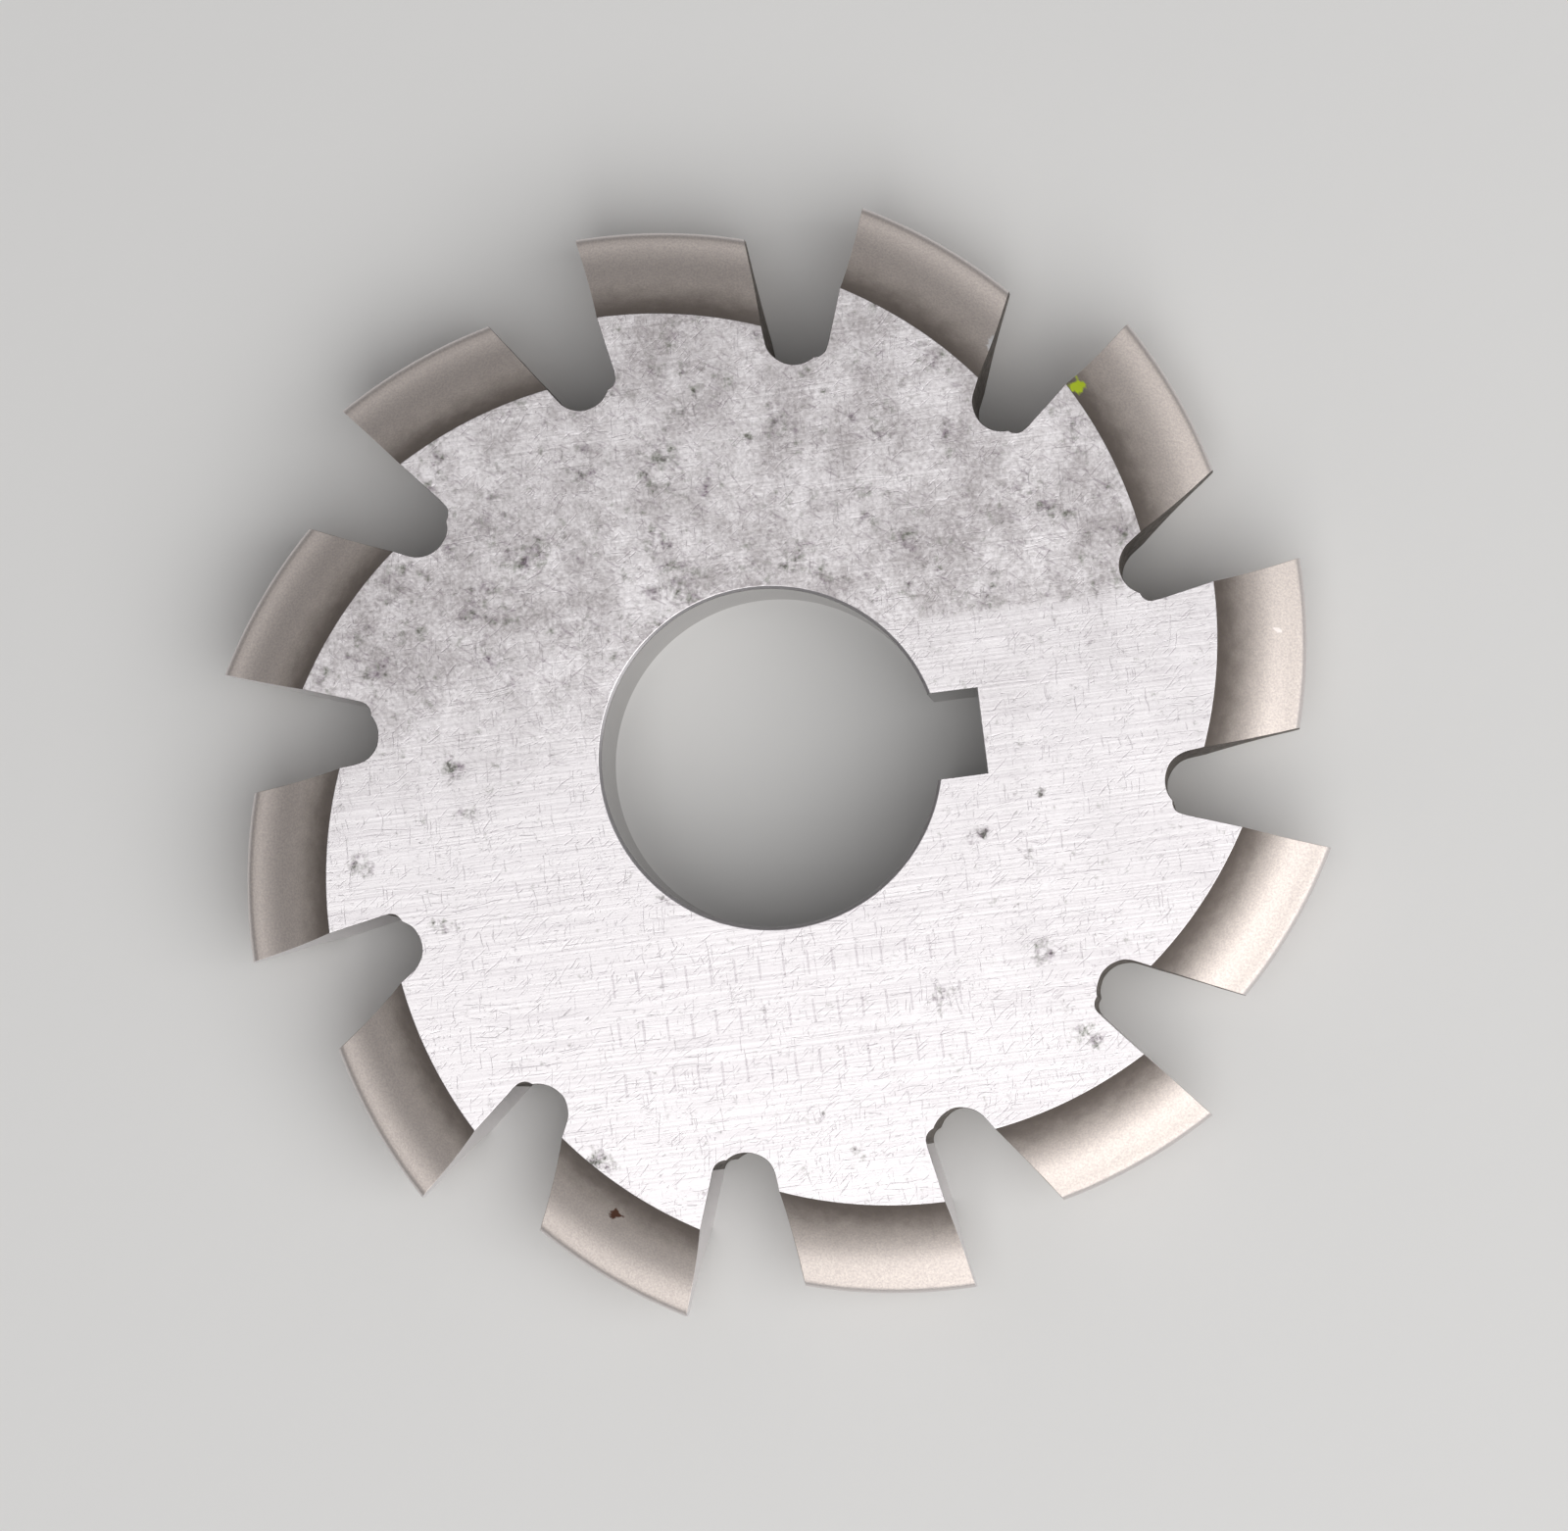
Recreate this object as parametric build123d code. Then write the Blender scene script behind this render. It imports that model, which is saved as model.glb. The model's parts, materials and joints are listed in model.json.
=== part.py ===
"""Form-relieved disc cutter that mills the tooth spaces of small gear wheels.

One piece of hardened high-speed steel, carried and keyed by a milling arbor. The bore axis is
Z, with the middle of the thickness at Z = 0, and the keyway points along +X. Seen from +Z the
cutter turns anticlockwise, so each tooth trails clockwise from its cutting face. Lengths are in
millimetres and angles in degrees.
"""
from build123d import *
from math import acos, atan2, cos, degrees, pi, radians, sin, sqrt, tan
import os

# Body and arbor hole
TIP_RADIUS = 26.8            # cutting edge, as now ground
WIDTH = 7.7                  # side face to side face
BORE_DIAMETER = 16.0         # sliding fit on the arbor
BORE_EDGE_BREAK = 0.15       # chamfer at both mouths of the bore
KEYWAY_WIDTH = 4.1           # clears a 4 mm key
KEYWAY_DEPTH = 2.13          # from the bore wall to the keyway's floor

# Teeth
TOOTH_COUNT = 12
RELIEF_PER_PITCH = 3.0       # radial fall of the form from one cutting face to the next
FIRST_TOOTH_ANGLE = 13.8     # first cutting edge, anticlockwise from the keyway

# Form of the teeth, which is the space between two teeth of the wheel that they cut
MODULE = 1.5
PRESSURE_ANGLE = 20.0
WHEEL_TEETH = 14             # the smallest wheel of this cutter's range
DEDENDUM = 7 / 6             # the wheel's root lies this many modules below its pitch circle
TIP_CORNER_RADIUS = 0.4      # between the tip land and each flank

# Chip gullets
GULLET_ANGLE = 25.0          # from the cutting face to the heel of the tooth ahead
GULLET_RADIUS = 1.42         # round bottom
GULLET_BELOW_FORM = 0.79     # round bottom below the lowest side edge that the relief could reach
RAKE_ANGLE = -3.0            # from the radius through the cutting edge to the cutting face
REGRIND_DEPTH = 0.27         # sharpening has moved the cutting face back by this much
REGRIND_STEP = 0.59          # floor that sharpening left, above the round bottom
REGRIND_CORNER = 0.6         # corner between that floor and the cutting face

# How the solid is built
FORM_POINTS = 9              # points on each curved flank
RELIEF_SECTIONS = 5          # sections that carry the form back along its relief
OVERCUT = 2.0                # cutting tools reach this far past the body
LARGEST_SPACE = 4            # the form is looked for out to this many pitch radii
HALVINGS = 50                # steps of that search

PITCH_ANGLE = 360 / TOOTH_COUNT
HALF_WIDTH = WIDTH / 2
BORE_RADIUS = BORE_DIAMETER / 2
KEYWAY_FLOOR = BORE_RADIUS + KEYWAY_DEPTH

PITCH_RADIUS = MODULE * WHEEL_TEETH / 2
BASE_RADIUS = PITCH_RADIUS * cos(radians(PRESSURE_ANGLE))
ROOT_RADIUS = PITCH_RADIUS - DEDENDUM * MODULE


def involute(pressure):
    """Involute function of a pressure angle in radians."""
    return tan(pressure) - pressure


def tooth_space(radius):
    """Depth from the cutter's tip and half width of the wheel's tooth space, at a wheel radius.

    Outside the base circle the space widens along the involute. Inside it each side is a
    straight line from the wheel's centre.
    """
    pressure = acos(BASE_RADIUS / max(radius, BASE_RADIUS))
    at_base = pi / (2 * WHEEL_TEETH) - involute(radians(PRESSURE_ANGLE))
    half_angle = at_base + involute(pressure)
    return radius * cos(half_angle) - ROOT_RADIUS * cos(at_base), radius * sin(half_angle)


def wheel_radius_at(half_width):
    """Wheel radius at which the tooth space has this half width, by halving an interval."""
    low, high = BASE_RADIUS, LARGEST_SPACE * PITCH_RADIUS
    for _ in range(HALVINGS):
        middle = (low + high) / 2
        if tooth_space(middle)[1] < half_width:
            low = middle
        else:
            high = middle
    return middle


OUTER_WHEEL_RADIUS = wheel_radius_at(HALF_WIDTH)
FORM_DEPTH = tooth_space(OUTER_WHEEL_RADIUS)[0]
TIP_HALF_WIDTH = tooth_space(ROOT_RADIUS)[1]
LOWEST_SIDE_EDGE = TIP_RADIUS - FORM_DEPTH - RELIEF_PER_PITCH
GULLET_BOTTOM_RADIUS = LOWEST_SIDE_EDGE - GULLET_BELOW_FORM

# Centre of the round bottom: along the cutting face from its edge, and out from that face
GULLET_OUT = REGRIND_DEPTH + GULLET_RADIUS
GULLET_OFF_AXIS = GULLET_OUT - TIP_RADIUS * sin(radians(RAKE_ANGLE))
GULLET_ALONG = (
    sqrt((GULLET_BOTTOM_RADIUS + GULLET_RADIUS) ** 2 - GULLET_OFF_AXIS ** 2)
    - TIP_RADIUS * cos(radians(RAKE_ANGLE))
)
CUTTING_EDGE = Pos(TIP_RADIUS, 0, 0) * Rot(0, 0, RAKE_ANGLE)


def gullet_centre_angle():
    """Angle from a cutting edge forward to the middle of its gullet's round bottom."""
    centre = (CUTTING_EDGE * Pos(GULLET_ALONG, GULLET_OUT, 0)).position
    return degrees(atan2(centre.Y, centre.X))


def flank_points():
    """Depth and half width along the curved flank, from the base circle to the side face."""
    step = (OUTER_WHEEL_RADIUS - BASE_RADIUS) / (FORM_POINTS - 1)
    return [tooth_space(BASE_RADIUS + i * step) for i in range(FORM_POINTS)]


def axial_section(angle):
    """Half section of a tooth, from the keyway out, at an angle behind its cutting edge."""
    tip = TIP_RADIUS - RELIEF_PER_PITCH * angle / PITCH_ANGLE
    upper = [(tip - depth, half) for depth, half in flank_points()]
    lower = [(x, -z) for x, z in upper]
    edges = [
        Line((KEYWAY_FLOOR, -HALF_WIDTH), (KEYWAY_FLOOR, HALF_WIDTH)),
        Line((KEYWAY_FLOOR, HALF_WIDTH), upper[-1]),
        Spline(*reversed(upper)),
        Line(upper[0], (tip, TIP_HALF_WIDTH)),
        Line((tip, TIP_HALF_WIDTH), (tip, -TIP_HALF_WIDTH)),
        Line((tip, -TIP_HALF_WIDTH), lower[0]),
        Spline(*lower),
        Line(lower[-1], (KEYWAY_FLOOR, -HALF_WIDTH)),
    ]
    face = make_face(edges)
    face = fillet(face.vertices().sort_by(Axis.X)[-2:], TIP_CORNER_RADIUS)
    return Rot(0, 0, -angle) * Rot(90, 0, 0) * face


def relieved_tooth():
    """One tooth with its form carried back and inwards, run out into the gullets at both ends."""
    ahead = -gullet_centre_angle() / 2
    behind = PITCH_ANGLE - gullet_centre_angle()
    step = (behind - ahead) / (RELIEF_SECTIONS - 1)
    return loft([axial_section(ahead + i * step) for i in range(RELIEF_SECTIONS)])


def gullet():
    """Cutting tool for the gullet in front of a cutting edge on +X."""
    top = OVERCUT
    heel = radians(GULLET_ANGLE)
    heel_foot = (GULLET_ALONG - GULLET_RADIUS * sin(heel), GULLET_OUT + GULLET_RADIUS * cos(heel))
    face_foot = (GULLET_ALONG, REGRIND_DEPTH)
    heel_top = (top, heel_foot[1] + (top - heel_foot[0]) * tan(heel))
    valley = make_face([
        Line((top, REGRIND_DEPTH), face_foot),
        ThreePointArc(face_foot, (GULLET_ALONG - GULLET_RADIUS, GULLET_OUT), heel_foot),
        Line(heel_foot, heel_top),
        Line(heel_top, (top, REGRIND_DEPTH)),
    ])
    floor = GULLET_ALONG - GULLET_RADIUS + REGRIND_STEP
    sharpened = make_face(Polyline(
        (floor, 0), (top, 0), (top, GULLET_OUT), (floor, GULLET_OUT), (floor, 0)))
    corner = sharpened.vertices().sort_by_distance((floor, 0, 0))[0]
    outline = valley + fillet(corner, REGRIND_CORNER)
    return CUTTING_EDGE * extrude(outline, HALF_WIDTH + OVERCUT, both=True)


def bore():
    """Cutting tool for the bore, its two edge breaks and the keyway."""
    tool = Cylinder(BORE_RADIUS, WIDTH + 2 * OVERCUT)
    mouth = Pos(0, 0, HALF_WIDTH - BORE_EDGE_BREAK / 2) * Cone(
        BORE_RADIUS, BORE_RADIUS + BORE_EDGE_BREAK, BORE_EDGE_BREAK)
    keyway = Pos(KEYWAY_FLOOR / 2, 0, 0) * Box(KEYWAY_FLOOR, KEYWAY_WIDTH, WIDTH + 2 * OVERCUT)
    return tool + mouth + mirror(mouth, Plane.XY) + keyway


def at_each_tooth(shape):
    """Copies of a shape turned to every cutting edge."""
    return [Rot(0, 0, FIRST_TOOTH_ANGLE + i * PITCH_ANGLE) * shape for i in range(TOOTH_COUNT)]


def gear_cutter():
    """The finished cutter."""
    core = Cylinder(LOWEST_SIDE_EDGE, WIDTH)
    body = core + at_each_tooth(relieved_tooth())
    body -= at_each_tooth(gullet())
    return body - bore()


def main():
    os.makedirs("parts", exist_ok=True)
    cutter = gear_cutter()
    cutter.label = "gear_cutter"
    export_step(cutter, "parts/gear_cutter.step")
    print(f"form depth {FORM_DEPTH:.3f}, gullet bottom radius {GULLET_BOTTOM_RADIUS:.3f}")
    print(f"volume {cutter.volume:.1f}, solids {len(cutter.solids())}, valid {cutter.is_valid}")


main()
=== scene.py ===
"""Gear tooth milling cutter: its finished surfaces, and a plain stage to look at it on.

The script is laid out as an add-on and run as a script. Lengths are in metres. The bore axis is
Z, the keyway points along +X, and seen from +Z the cutter turns anticlockwise.
"""
import json

import bmesh
import bpy
import numpy as np
from mathutils import Matrix, Vector


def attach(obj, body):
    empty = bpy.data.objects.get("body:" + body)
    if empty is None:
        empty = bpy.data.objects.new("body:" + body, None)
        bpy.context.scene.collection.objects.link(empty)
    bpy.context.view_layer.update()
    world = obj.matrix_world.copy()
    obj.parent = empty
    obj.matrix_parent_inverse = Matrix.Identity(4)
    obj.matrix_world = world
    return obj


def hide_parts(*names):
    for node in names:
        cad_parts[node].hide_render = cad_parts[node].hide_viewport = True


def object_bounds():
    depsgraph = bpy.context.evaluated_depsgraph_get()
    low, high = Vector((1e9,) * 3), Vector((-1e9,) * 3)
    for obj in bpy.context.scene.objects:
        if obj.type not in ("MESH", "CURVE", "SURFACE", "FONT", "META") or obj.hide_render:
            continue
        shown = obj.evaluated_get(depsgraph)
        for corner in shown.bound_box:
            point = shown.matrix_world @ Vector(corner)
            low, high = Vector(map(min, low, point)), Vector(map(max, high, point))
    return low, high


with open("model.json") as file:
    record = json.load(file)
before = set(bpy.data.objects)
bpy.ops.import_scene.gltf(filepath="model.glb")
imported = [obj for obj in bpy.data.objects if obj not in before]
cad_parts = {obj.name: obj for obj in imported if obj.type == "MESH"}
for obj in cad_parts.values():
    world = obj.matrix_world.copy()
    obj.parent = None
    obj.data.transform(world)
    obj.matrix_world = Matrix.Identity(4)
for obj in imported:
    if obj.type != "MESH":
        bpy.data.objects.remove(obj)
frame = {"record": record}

bl_info = {
    "name": "Gear tooth milling cutter",
    "version": (1, 0, 0),
    "blender": (4, 5, 0),
    "location": "3D view > Sidebar > Cutter",
    "description": "Builds a form-relieved gear tooth milling cutter and a plain stage for it",
    "category": "Add Mesh",
}

CAD_LOW, CAD_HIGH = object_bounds()
CAD_NODE = "gear_cutter"
BODY = "root"
MOUNTS = {mount["name"]: mount for mount in frame["record"]["mounts"]}

MM = 0.001

# The wheel whose tooth spaces the form cuts
MODULE = 1.5 * MM
PRESSURE_ANGLE = np.radians(20)
WHEEL_TEETH = 14
DEDENDUM = 7 / 6             # in modules
LARGEST_SPACE = 4            # the form is looked for out to this many pitch radii
SPACE_SAMPLES = 20000        # places on the way there at which its width is worked out
CURVE_SAMPLES = 200          # points of the involute before the flank is divided
EASE_SAMPLES = 20            # points on either side of each one, when the bend is spread
SETTLING_ROUNDS = 12         # of substitution, where the form meets a wall

# How finely the surfaces are divided
LAND_STEPS = 28              # across the tip land, and from side to side of each gullet
CORNER_STEPS = 5             # round each corner of the tip land
FLANK_STEPS = 20             # down each flank
FLANK_EASE = 1.6 * MM        # length over which the bend where the involute starts is spread
RELIEF_STEPS = 30            # from the cutting face back to the heel
FACE_STEPS = 8               # down the cutting face below the form
FLOOR_STEPS = 8              # round the corner that sharpening left
VALLEY_STEPS = 22            # round the bottom of the gullet
HEEL_STEPS = 6               # up the heel below the form
SIDE_RINGS = 8               # from the bore out to the teeth
BORE_STEPS = 8               # from one edge break of the bore to the other
FADE_STEPS = 4               # over which the gullet's tool marks die out
WELD = 1e-4 * MM             # points closer than this are one
SHARP_EDGE = np.radians(28)  # edges that turn by more than this are worn
TINY = 1e-9                  # keeps a division from meeting zero

# Tool marks left in the gullets: their height, and the longest and the shortest of them
GULLET_MARKS = 0.02 * MM
GULLET_MARK_LENGTHS = (2.0 * MM, 0.5 * MM)
GULLET_SEED = 7

# Stains on the marked side, in millimetres: place and radius
STAINS = (
    (-10.1, 10.8, 1.7), (-12.6, 6.4, 1.2), (-14.9, 1.4, 1.0), (-3.3, 14.9, 1.6),
    (2.5, 15.7, 1.2), (-4.1, 10.8, 0.9), (-3.1, 8.6, 1.4), (-20.1, -2.7, 1.2),
    (-16.4, -6.2, 0.8), (11.8, -10.8, 1.1), (6.6, -12.4, 1.0), (9.3, -4.8, 0.8),
    (11.6, -6.2, 0.6), (13.3, -14.9, 1.1), (0.0, -17.2, 0.5), (1.6, -18.8, 0.5),
    (-10.4, -18.0, 1.1), (14.5, 9.9, 0.9), (7.7, 20.9, 1.0), (-14.5, -0.8, 0.8),
    (-5.8, -6.2, 0.5), (5.9, 11.9, 0.9), (-18.6, 8.2, 0.8), (12.6, -3.1, 0.4),
)

# Specks on the flanks of that side: place and radius in millimetres, and colour
SPECKS = (
    ((16.55, 15.6, 0.50), "#D3E83C"),
    ((-10.1, -20.5, 0.35), "#6A4A3C"),
    ((24.6, 3.1, 0.30), "#F7EFEB"),
    ((13.0, 18.3, 0.55), "#F2F0F0"),
)
FORM_MIDDLE = (CAD_LOW.z + CAD_HIGH.z) / 2   # flanks above this are on the marked side

# Rows of strokes on the marked side: the middles of the rows, and their ends along X
TALLY_ROWS = (-9.8 * MM, -12.1 * MM, -14.5 * MM)
TALLY_SPAN = (-9.5 * MM, 7.9 * MM)
TALLY_HEIGHT = 1.1 * MM
TALLY_PITCH = 1.16 * MM
TALLY_LINE = 0.045 * MM      # from a stroke's middle to its edge

GRINDING_LINES = 0.12 * MM   # from line to line on ground steel: real ones are too fine to show

# Where the last grinding left the older surface, as spans on the sides
OLDER_FADE = (-0.5 * MM, 9.0 * MM)      # along Y, over which it fades in
OLDER_BORDER = (5.35 * MM, 5.85 * MM)   # along Y, over which it starts where its border is clear
OLDER_CHANGE = (-4 * MM, 9 * MM)        # along X, from the fading part to the clear border

# Materials of the cutter's faces, in the order of its material slots
SIDE, UNDERSIDE, FLANK, CUTTING_FACE, GULLET, BORE = range(6)

# Camera, as it looks down on the side face
CAMERA_DISTANCE = 350 * MM   # from the side face
CAMERA_LENS = 170            # millimetres, on a sensor 36 millimetres wide
CAMERA_NEAR = 10 * MM        # nothing closer is drawn
CAMERA_TILT = (np.radians(-2.559), np.radians(-3.87), np.radians(7.174))
CAMERA_AIM = (0.659 * MM, -0.371 * MM)

# Soft boxes: name, place, size, radiance, and the place they are aimed at
SOFT_BOXES = (
    ("overhead_soft_box", (0.40, -0.55, 0.60), 1.2, 1.43, (0.40, -0.55, 0)),
    ("side_soft_box", (0.70, -0.45, 0.32), 0.6, 0.45, (0, 0, 0)),
)
ROOM_COLOUR = "#C8C8CA"
ROOM_STRENGTH = 0.42
FLOOR_REACH = 1.5            # from the bore axis to each side of the floor

# What properties of a kind share
LENGTH = {"subtype": "DISTANCE", "unit": "LENGTH", "precision": 5}
ANGLE = {"subtype": "ANGLE", "unit": "ROTATION"}
COLOUR = {"size": 4, "subtype": "COLOR", "min": 0, "max": 1}


def linear(code):
    """Linear colour, with alpha, of an sRGB hex code."""
    srgb = np.array([int(code[i:i + 2], 16) for i in (1, 3, 5)]) / 255
    low = srgb / 12.92
    high = ((srgb + 0.055) / 1.055) ** 2.4
    return (*np.where(srgb <= 0.04045, low, high), 1.0)


class CutterSizes(bpy.types.PropertyGroup):
    """Sizes of the cutter."""

    tip_radius: bpy.props.FloatProperty(
        name="Tip radius", description="From the bore axis to the cutting edges",
        default=26.8 * MM, **LENGTH)
    width: bpy.props.FloatProperty(
        name="Width", description="From side face to side face",
        default=CAD_HIGH.z - CAD_LOW.z, **LENGTH)
    bore_radius: bpy.props.FloatProperty(
        name="Bore radius", description="Radius of the arbor hole",
        default=MOUNTS["bore"]["dims"]["r_mm"] * MM, **LENGTH)
    bore_edge: bpy.props.FloatProperty(
        name="Bore edge break", description="Chamfer at both mouths of the bore",
        default=0.15 * MM, **LENGTH)
    keyway_width: bpy.props.FloatProperty(
        name="Keyway width", description="Across the slot for the arbor's key",
        default=4.1 * MM, **LENGTH)
    keyway_floor: bpy.props.FloatProperty(
        name="Keyway floor", description="From the bore axis to the floor of the keyway",
        default=10.13 * MM, **LENGTH)
    teeth: bpy.props.IntProperty(
        name="Teeth", description="Number of teeth", default=12, min=3)
    first_tooth: bpy.props.FloatProperty(
        name="First tooth", description="Anticlockwise from the keyway to a cutting edge",
        default=np.radians(13.8), **ANGLE)
    relief: bpy.props.FloatProperty(
        name="Relief", description="Fall of the form from one cutting face to the next",
        default=3.0 * MM, **LENGTH)
    tip_corner: bpy.props.FloatProperty(
        name="Tip corner", description="Radius between the tip land and each flank",
        default=0.4 * MM, **LENGTH)
    rake: bpy.props.FloatProperty(
        name="Rake", description="Lean of the cutting faces from the radius",
        default=np.radians(-3), **ANGLE)
    gullet_angle: bpy.props.FloatProperty(
        name="Gullet angle", description="From a cutting face to the heel of the tooth ahead",
        default=np.radians(25), **ANGLE)
    gullet_radius: bpy.props.FloatProperty(
        name="Gullet radius", description="Round bottom of the gullets",
        default=1.42 * MM, **LENGTH)
    gullet_below_form: bpy.props.FloatProperty(
        name="Gullet below form", description="Depth of the gullets below the lowest side edge",
        default=0.79 * MM, **LENGTH)
    regrind_depth: bpy.props.FloatProperty(
        name="Regrind depth", description="How far sharpening has moved the cutting faces back",
        default=0.27 * MM, **LENGTH)
    regrind_step: bpy.props.FloatProperty(
        name="Regrind step", description="Height of the sharpened floor above the round bottom",
        default=0.59 * MM, **LENGTH)
    regrind_corner: bpy.props.FloatProperty(
        name="Regrind corner", description="Radius between that floor and the cutting face",
        default=0.6 * MM, **LENGTH)
    edge_wear: bpy.props.FloatProperty(
        name="Edge wear", description="Width of the break on the sharp edges",
        default=0.03 * MM, **LENGTH)


class CutterColours(bpy.types.PropertyGroup):
    """Colours of the steel and the stage."""

    ground: bpy.props.FloatVectorProperty(
        name="Ground steel", description="Side faces as the last grinding left them",
        default=linear("#E9E5E6"), **COLOUR)
    patina: bpy.props.FloatVectorProperty(
        name="Patina", description="Older surface that the last grinding didn't reach",
        default=linear("#AFA9A9"), **COLOUR)
    smudge: bpy.props.FloatVectorProperty(
        name="Smudge", description="Violet grey stains on the older surface",
        default=linear("#80717D"), **COLOUR)
    tarnish: bpy.props.FloatVectorProperty(
        name="Tarnish", description="Green grey stains on the older surface",
        default=linear("#7B7F72"), **COLOUR)
    stain: bpy.props.FloatVectorProperty(
        name="Stain", description="Pits",
        default=linear("#5A5154"), **COLOUR)
    flank: bpy.props.FloatVectorProperty(
        name="Flank", description="Satin flanks near the tip",
        default=linear("#E8DED6"), **COLOUR)
    # Painted shade: a brown that darkens the flanks towards the side faces, in place of the dark
    # surroundings they reflect
    flank_painted_shade: bpy.props.FloatVectorProperty(
        name="Flank painted shade", description="Brown painted shade deep in the flanks",
        default=linear("#736B62"), **COLOUR)
    gullet: bpy.props.FloatVectorProperty(
        name="Gullet", description="Rough walls of the gullets",
        default=linear("#8A8178"), **COLOUR)
    # Partly scale, partly painted shade: dark patches that stand in for the shade in the gullets
    scale: bpy.props.FloatVectorProperty(
        name="Scale", description="Dark scale on the walls of the gullets",
        default=linear("#4C453F"), **COLOUR)
    rust: bpy.props.FloatVectorProperty(
        name="Rust", description="Specks of rust in the gullets",
        default=linear("#7C5A42"), **COLOUR)
    # Painted shade: the bore's colour is darkened so that its wall looks shaded, like the inside of
    # the hole
    bore: bpy.props.FloatVectorProperty(
        name="Bore", description="Internally ground bore and keyway",
        default=linear("#8E8A88"), **COLOUR)
    floor: bpy.props.FloatVectorProperty(
        name="Floor", description="Plain floor of the stage",
        default=linear("#E6E5E3"), **COLOUR)


# Shape of the cutter

def involute(pressure):
    """Involute function: the tangent of a pressure angle, less the angle."""
    return np.tan(pressure) - pressure


def eased(points, reach, steps):
    """The same curve with its bends spread over a length, as a number of equal steps.

    Each new point is the mean of the points within half the reach on either side of it. Beyond
    an end the curve goes on as its own mirror image through that end, which keeps the end.
    """
    half = EASE_SAMPLES
    spacing = reach / (2 * half)
    along = run_length(points)
    count = int(np.ceil(along[-1] / spacing)) + 1
    even = np.linspace(0, along[-1], count)
    dense = np.column_stack([np.interp(even, along, points[:, axis]) for axis in range(2)])
    before = 2 * dense[0] - dense[half:0:-1]
    after = 2 * dense[-1] - dense[-2:-half - 2:-1]
    padded = np.vstack([before, dense, after])
    sums = np.cumsum(np.vstack([np.zeros(2), padded]), axis=0)
    mean = (sums[2 * half + 1:] - sums[:-2 * half - 1]) / (2 * half + 1)
    picked = np.linspace(0, count - 1, steps + 1)
    number = np.arange(count)
    return np.column_stack([np.interp(picked, number, mean[:, axis]) for axis in range(2)])


def flank_profile(sizes):
    """Depth below the tip and half width down one flank, from the tip land to the side face.

    The corner is an arc that touches the land and the flank. The straight part runs towards the
    wheel's centre as far as its base circle. Beyond that circle the half angle of the tooth
    space at a wheel radius is its half angle at the base circle plus the involute function of
    the pressure angle there, and depth and half width are the radius times the cosine and the
    sine of that half angle. The bend where the two parts meet is spread over a length.
    """
    pitch = MODULE * WHEEL_TEETH / 2
    base = pitch * np.cos(PRESSURE_ANGLE)
    root = pitch - DEDENDUM * MODULE
    at_base = np.pi / (2 * WHEEL_TEETH) - involute(PRESSURE_ANGLE)

    def space(radius):
        half_angle = at_base + involute(np.arccos(base / radius))
        return radius * np.cos(half_angle) - root * np.cos(at_base), radius * np.sin(half_angle)

    trial = np.linspace(base, LARGEST_SPACE * pitch, SPACE_SAMPLES)
    outer = np.interp(sizes.width / 2, space(trial)[1], trial)
    roll = np.linspace(0, np.sqrt((outer / base) ** 2 - 1), CURVE_SAMPLES)
    curved = np.column_stack(space(base * np.sqrt(1 + roll ** 2)))

    corner = sizes.tip_corner
    turn = np.linspace(0, np.pi / 2 - at_base, CORNER_STEPS + 1)
    middle = root * np.sin(at_base) + corner * np.tan(at_base) - corner / np.cos(at_base)
    arc = np.column_stack([corner - corner * np.cos(turn), middle + corner * np.sin(turn)])
    flank = eased(np.vstack([arc[-1], curved]), FLANK_EASE, FLANK_STEPS)
    return np.vstack([arc, flank[1:]])


def fall(sizes, angle):
    """Drop of the form at an angle from the cutting edge, where behind it is negative."""
    return sizes.relief * angle * sizes.teeth / (2 * np.pi)


def form_meets_plane(sizes, depth, lean, offset, pitches_ahead):
    """Polar angle at which the form at each depth meets a flat wall parallel to the axis.

    The wall leans from the X axis of a cutting edge by an angle and passes the axis at an
    offset, and that cutting edge is some pitches ahead of the one that the form starts from.
    At radius r it lies at the lean plus the arcsine of offset over r. The radius depends on the
    angle through the relief, so a few rounds of substitution settle both.
    """
    shift = 2 * np.pi / sizes.teeth * pitches_ahead
    angle = np.zeros_like(depth)
    for _ in range(SETTLING_ROUNDS):
        radius = sizes.tip_radius - depth + fall(sizes, angle)
        angle = lean + np.arcsin(offset / radius) + shift
    return angle


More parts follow.
